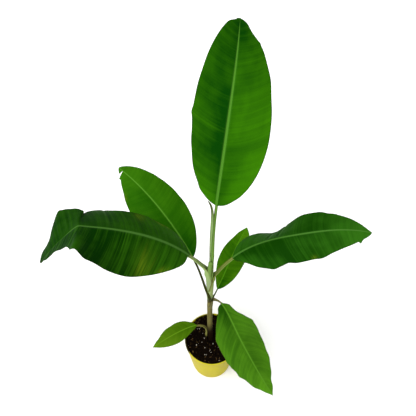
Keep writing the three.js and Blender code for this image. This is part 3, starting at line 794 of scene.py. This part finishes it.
# Moves of a petiole off its solid's line: places along it, then the moves there in x, y and z. The
# rear left one starts at the front of the knot and passes the stem's left side.
STALK_MOVES = {
    "rear_left": (
        (0, 10, 20, 30, 42, 75), (3.2, 2.7, 2.1, 1.5, 1, 0.3),
        (-10.9, -14.3, -16.3, -16.8, -13.6, 0), (10.6, 13.9, 15.8, 16.3, 13.2, 0),
    ),
    "left": ((0, 14, 30, 45, 59), (0,) * 5, (0,) * 5, (0, 2.4, 4, 2.4, 0)),
    "front": ((0, 12, 23), (0,) * 3, (0,) * 3, (-7, -4, 0)),
}


def shell_ring(centre, outward, side, radius, half_angle, wall, columns=15):
    """Rings of a shell open on its inner side: over its inside, then back over its outside."""
    share = np.linspace(-1, 1, columns)
    angle = np.radians(half_angle[:, None]) * share
    taper = 1 - SHELL_THINNING * share**4
    outer = radius[:, None] + 0 * angle
    inner = outer - wall[:, None] * taper

    def arc(r):
        level = side[:, None] * (r * np.sin(angle))[..., None]
        return centre[:, None] + level + outward[:, None] * (r * np.cos(angle))[..., None]

    rings = np.concatenate([arc(inner), arc(outer)[:, ::-1]], axis=1)
    edge = np.concatenate([np.abs(share), np.abs(share)[::-1]])
    arc_length = np.concatenate([share, share[::-1]]) * SHELL_RUN
    return rings, arc_length, edge


def sheath_rings(name, leaf, foot, s):
    """The shell that wraps the stem below a petiole, at the places s along its line."""
    z = np.minimum(foot[2] + s, STEM_TOP_Z + 8)
    axis = stem_axis(z)
    out = foot - stem_axis(foot[2])
    out = out / np.linalg.norm(out)
    outward = np.tile(out, (len(s), 1))
    level = np.tile([out[1], -out[0], 0], (len(s), 1))
    lean, top_spread, _ = SHEATH_TOPS.get(name, PLAIN_TOP)
    share = (s + leaf["sheath"]) / leaf["sheath"]
    climb = smooth(share)
    axis = axis + outward * (lean * np.clip(share, 0, 1) ** 9)[:, None]
    radius = through(STEM_Z, STEM_RADIUS, z) - WRAP_INSET + WRAP_CLIMB * climb
    spread = WRAP_HALF_ANGLE - (WRAP_HALF_ANGLE - top_spread) * climb
    return shell_ring(axis, outward, level, radius, spread, WRAP_WALL + WRAP_THICKENING * climb)[0]


def make_stalk(name, leaf, spine, material):
    """A petiole with a channel, which widens below into the sheath that holds the stem."""
    sheath = leaf["sheath"]
    sections = round((sheath + leaf["petiole"]) / STALK_SPACING)
    s = np.linspace(-sheath, leaf["petiole"] + 2, sections)
    f = np.clip(s / leaf["petiole"], 0, 1)
    point, _, side, up = spine.at(s)
    foot = np.array(leaf["from"], float)
    if name in STALK_MOVES:
        stops, *moves = STALK_MOVES[name]
        moved = np.stack([through(stops, move, s) for move in moves], -1)
        point, foot = point + moved, foot + moved[0]
    widths = STALK_WIDTHS[name]
    half = (widths[1] + (widths[0] - widths[1]) * (1 - f) ** 1.5) / 2
    centre = point - up * (f * half * 0.6)[:, None]
    wide = np.full_like(s, CHANNEL_HALF_ANGLE)
    rings, arc, edge = shell_ring(centre, -0.85 * up, side, half, wide, half * 0.6)
    if sheath:
        blend = SHEATH_TOPS.get(name, PLAIN_TOP)[2]
        drawn = smooth(s / blend)[:, None, None]
        rings = sheath_rings(name, leaf, foot, s) * (1 - drawn) + rings * drawn
    run = np.stack(np.broadcast_arrays(arc, s[:, None], edge), -1)
    return loft(f"stalk_{name}", rings, material, {"run": run})


SPEAR_RINGS = 120
SPEAR_TURN = 10  # degrees between a ring's points
SPEAR_EDGE = (70, -30)  # degrees round the roll where its free edge starts, and its drift
SPEAR_STEP = (0.78, 0.24)  # the radius just past the free edge, and its growth in one turn
SPEAR_POINT = 7  # mm over which the tip draws in


def make_spear():
    """The rolled leaf: a slim roll whose free edge shows as a step down its side."""
    length = SPEAR["length"]
    stops = [f * length for f in SPEAR["at"]]
    untwisted = [0] * len(stops)
    spine = Spine(SPEAR["from"], length, stops, SPEAR["rise"], SPEAR["heading"], untwisted)
    s = np.linspace(0, length, SPEAR_RINGS)
    point, _, side, up = spine.at(s)
    angle = np.radians(np.arange(0, 360, SPEAR_TURN))[None]
    free = np.radians(SPEAR_EDGE[0] + SPEAR_EDGE[1] * s / length)[:, None]
    past = (angle - free) % (2 * math.pi) / (2 * math.pi)
    end = np.minimum(1, (length - s) / SPEAR_POINT)[:, None] ** 0.6
    rolled = SPEAR_STEP[0] + SPEAR_STEP[1] * past
    radius = through(stops, SPEAR["radius"], s)[:, None] * end * rolled
    rings = point[:, None] - side[:, None] * (radius * np.cos(angle))[..., None]
    rings = rings + up[:, None] * (radius * np.sin(angle))[..., None]
    edge = np.exp(-((1 - past) / 0.12) ** 2)
    run = np.stack(np.broadcast_arrays(angle * 2, s[:, None], edge), -1)
    return loft("new_leaf_roll", rings, spear_material(), {"run": run})


# ---- pot and potting mix


def pot_outer(z):
    return POT_FOOT_RADIUS + (POT_RIM_RADIUS - LIP_DEPTH - POT_FOOT_RADIUS) * z / POT_HEIGHT


def pot_inner(z):
    return pot_outer(z) - POT_WALL


def revolve(name, profile, sides, material):
    """Body of revolution about +Z from a profile that starts and ends on the axis."""
    angle = np.linspace(0, 2 * math.pi, sides, endpoint=False)
    radius, height = np.array(profile[1:-1], float).T[..., None]
    rings = np.stack([radius * np.cos(angle), radius * np.sin(angle), height + 0 * angle], -1)
    points = np.vstack([rings.reshape(-1, 3), [0, 0, profile[0][1]], [0, 0, profile[-1][1]]])
    faces = []
    for k in range(len(rings) - 1):
        faces += band(k * sides, (k + 1) * sides, sides)
    first, last = len(points) - 2, len(points) - 1
    end = (len(rings) - 1) * sides
    faces += [(first, (i + 1) % sides, i) for i in range(sides)]
    faces += [(last, end + i, end + (i + 1) % sides) for i in range(sides)]
    return add_mesh(name, points, faces, material)


def arc_points(centre, radius, start, stop, count):
    """Points of an arc in the profile plane, from start to stop in degrees."""
    angles = np.radians(np.linspace(start, stop, count))
    return [(centre[0] + radius * math.cos(a), centre[1] + radius * math.sin(a)) for a in angles]


def make_pot():
    """The pot's thin shell: up its outside to the lip, over the rim and down its inside."""
    lip_low = POT_HEIGHT - LIP_HEIGHT
    rim_round = (POT_RIM_RADIUS - pot_inner(POT_HEIGHT)) / 2
    rim_centre = (POT_RIM_RADIUS - rim_round, POT_HEIGHT - rim_round)
    foot_round, lip_round = 1.2, 0.5
    profile = [(0, 0)]
    profile += arc_points((POT_FOOT_RADIUS - foot_round, foot_round), foot_round, -90, 0, 6)
    profile += [(pot_outer(z), z) for z in np.linspace(4, lip_low - 0.4, 24)]
    profile += arc_points((POT_RIM_RADIUS - lip_round, lip_low + 0.9), lip_round, -70, 0, 4)
    profile += arc_points(rim_centre, rim_round, 0, 180, 12)
    profile += [(pot_inner(z), z) for z in np.linspace(POT_HEIGHT - 2.5, POT_FLOOR + 1, 12)]
    profile += [(pot_inner(POT_FLOOR) - 1, POT_FLOOR), (0, POT_FLOOR)]
    return revolve("pot_shell", profile, 192, pot_material())


MIX_SPACING = 0.55  # mm between the points of the mix's surface
MIX_CRUMBS = 3800
LARGEST_CRUMB = 4.2  # mm, its radius
MIX_DEPTH = 12  # mm down to the mix's hidden underside
MIX_GAP = 0.15  # mm between the mix and the pot's wall
MIX_HOLLOW = 2.2  # mm down to the ground between its crumbs


def crumb_field(x, y, crumbs, rng):
    """Height of overlapping round crumbs over a square grid of points x, y."""
    height = np.zeros_like(x)
    spacing = x[0, 1] - x[0, 0]
    low = x[0, 0]
    for _ in range(crumbs):
        size = rng.uniform(0.5, 1) ** 3 * LARGEST_CRUMB
        cx, cy = rng.uniform(-POT_RIM_RADIUS, POT_RIM_RADIUS, 2)
        lift = rng.uniform(0, 0.6)
        span = math.ceil(size / spacing)
        i, j = round((cy - low) / spacing), round((cx - low) / spacing)
        rows = slice(max(i - span, 0), i + span + 1)
        columns = slice(max(j - span, 0), j + span + 1)
        square = (x[rows, columns] - cx) ** 2 + (y[rows, columns] - cy) ** 2
        dome = size * 0.5 * np.sqrt(np.maximum(0, 1 - square / size**2)) + lift * (square < size**2)
        height[rows, columns] = np.maximum(height[rows, columns], dome)
    return height


def make_mix_surface():
    """The mix's rough top on a square grid that is drawn in to the pot's round wall."""
    rng = np.random.default_rng(21)
    wall = pot_inner(MIX_LEVEL) - MIX_GAP
    count = round(2 * wall / MIX_SPACING)
    line = np.linspace(-wall, wall, count)
    x, y = np.meshgrid(line, line)
    height = crumb_field(x, y, MIX_CRUMBS, rng)
    far = np.maximum(np.abs(x), np.abs(y))
    radial = np.hypot(x, y)
    pull = np.where(radial > 0, far / np.maximum(radial, 1e-6), 1)
    px, py = x * pull, y * pull
    swell = 0.7 * (waves(px + py * 0.4, (47, 71), rng) + waves(py - px * 0.3, (39, 83), rng))
    z = MIX_LEVEL - MIX_HOLLOW + height * 0.85 + swell * 0.45
    top = np.stack([px, py, z], -1).reshape(-1, 3)
    grid = np.arange(count * count).reshape(count, count)
    cells = np.stack([grid[:-1, :-1], grid[:-1, 1:], grid[1:, 1:], grid[1:, :-1]], -1)
    faces = cells.reshape(-1, 4).tolist()
    border = np.concatenate([grid[0], grid[1:, -1], grid[-1, -2::-1], grid[-2:0:-1, 0]]).tolist()
    skirt = top[border].copy()
    skirt[:, :2] *= pot_inner(MIX_LEVEL - MIX_DEPTH) / pot_inner(MIX_LEVEL)
    skirt[:, 2] = MIX_LEVEL - MIX_DEPTH
    base = len(top)
    ring = len(border)
    for k in range(ring):
        n = (k + 1) % ring
        faces.append((border[k], base + k, base + n, border[n]))
    faces.append(tuple(base + k for k in reversed(range(ring))))
    material = mix_material("damp_peat", "#040201", "#150d06", 400.0)
    return add_mesh("mix_surface", np.vstack([top, skirt]), faces, material)


BIT_ROUGHNESS = 0.22
BIT_LEAN = 0.35  # radians, the usual lean of a lump
BIT_SINK = 0.2  # mm from the mix's level down to a lump's middle
BIT_MARGIN = 3  # mm kept free along the pot's wall


def make_bits(name, number, size, squash, material, seed):
    """Many small rough lumps on the mix, joined in one mesh."""
    rng = np.random.default_rng(seed)
    ball = bmesh.new()
    bmesh.ops.create_icosphere(ball, subdivisions=2, radius=1)
    unit = np.array([v.co[:] for v in ball.verts])
    cells = [[v.index for v in f.verts] for f in ball.faces]
    ball.free()
    points, faces = [], []
    wall = pot_inner(MIX_LEVEL) - BIT_MARGIN
    for _ in range(number):
        distance = wall * math.sqrt(rng.uniform(0.03, 1))
        angle = rng.uniform(0, 2 * math.pi)
        scale = size * rng.uniform(0.5, 1) ** 2 * np.array(squash) * rng.uniform(0.8, 1.2, 3)
        rough = 1 + BIT_ROUGHNESS * waves(unit @ rng.normal(size=3), (0.9, 1.7), rng)
        lump = unit * rough[:, None] * scale
        turn, lean = rng.uniform(0, math.pi), rng.normal(0, BIT_LEAN)
        cos, sin = math.cos(turn), math.sin(turn)
        tilt = np.array([[1, 0, 0], [0, math.cos(lean), -math.sin(lean)],
                         [0, math.sin(lean), math.cos(lean)]])
        spin = np.array([[cos, -sin, 0], [sin, cos, 0], [0, 0, 1]])
        lump = lump @ tilt.T @ spin.T
        place = [distance * math.cos(angle), distance * math.sin(angle), MIX_LEVEL - BIT_SINK]
        start = len(points) * len(unit)
        points.append(lump + place)
        faces += [tuple(start + i for i in cell) for cell in cells]
    return add_mesh(name, np.vstack(points), faces, material)


# ---- assembly


def build_plant():
    for name, leaf in LEAVES.items():
        spine = leaf_spine(leaf)
        blades = ["blade_left", "blade_left_tip"] if name == "left" else [f"blade_{name}"]
        finish_piece(make_blade(name, leaf, spine), "leaf_blade", *blades)
        skin = stalk_material(name, *STALK_COLOURS[name])
        finish_piece(make_stalk(name, leaf, spine, skin), "petiole_tissue", f"petiole_{name}")
    finish_piece(make_stem(), "stem_tissue", "pseudostem")
    finish_piece(make_spear(), "rolled_leaf", "rolled_leaf")


def build_pot():
    finish_piece(make_pot(), "pot_plastic", "pot")
    finish_piece(make_mix_surface(), "potting_mix", "potting_mix")
    crumbs = mix_material("peat_crumbs", "#060302", "#20150a", 500.0)
    bark = mix_material("bark_chips", "#2e2010", "#7a6038", 300.0)
    perlite = mix_material("perlite", "#a29c90", "#ece6d8", 300.0)
    finish_piece(make_bits("mix_crumbs", 520, 1.9, (1, 0.8, 0.6), crumbs, 31), "potting_mix")
    finish_piece(make_bits("mix_bark", 130, 2.2, (1.2, 0.4, 0.35), bark, 32), "potting_mix")
    finish_piece(make_bits("mix_perlite", 40, 1.2, (1, 0.8, 0.8), perlite, 33), "potting_mix")


FLOOR_REACH = 9000
WORLD_STRENGTH = 0.5
SUN_TOWARDS, SUN_SPREAD, SUN_POWER = (-0.45, -0.5, 1.0), 80, 4.2


def floor_material():
    s = Shader("pale_floor")
    tone = s.noise(s.place(), (3.0, 3.0, 3.0), 2)
    return s.shade(s.blend(tone, "#f4f4f3", "#fafafa"), 0.9)


def build_stage():
    """A pale floor, an even white world and one soft sun."""
    r = FLOOR_REACH
    corners = [(-r, -r, 0), (r, -r, 0), (r, r, 0), (-r, r, 0)]
    add_mesh("floor", corners, [(0, 1, 2, 3)], floor_material())
    world = bpy.data.worlds.new("studio")
    world.use_nodes = True
    background = world.node_tree.nodes["Background"]
    background.inputs["Color"].default_value = (1, 1, 1, 1)
    background.inputs["Strength"].default_value = WORLD_STRENGTH
    bpy.context.scene.world = world
    sun = bpy.data.lights.new("key", "SUN")
    sun.angle = math.radians(SUN_SPREAD)
    sun.energy = SUN_POWER
    light = add_object("key", sun)
    light.rotation_euler = Vector(SUN_TOWARDS).to_track_quat("Z", "Y").to_euler()


# The camera solved from the pot in the photo: its focal length and the photo's width in pixels,
# its place in metres, and how far it looks down and to the left, in degrees.
FOCAL_PX, PHOTO_PX = 350, 416
CAMERA_PLACE = (0, -0.360, 0.865)
LOOKS_DOWN, LOOKS_LEFT = 44.2, 1.3


def build_camera():
    data = bpy.data.cameras.new("camera")
    data.sensor_width = 36
    data.lens = data.sensor_width * FOCAL_PX / PHOTO_PX
    data.clip_end = 50
    camera = add_object("camera", data)
    camera.location = CAMERA_PLACE
    camera.rotation_euler = (math.radians(90 - LOOKS_DOWN), 0, math.radians(LOOKS_LEFT))
    bpy.context.scene.camera = camera


bpy.context.scene.view_settings.view_transform = "Standard"
build_camera()
build_plant()
build_pot()
build_stage()
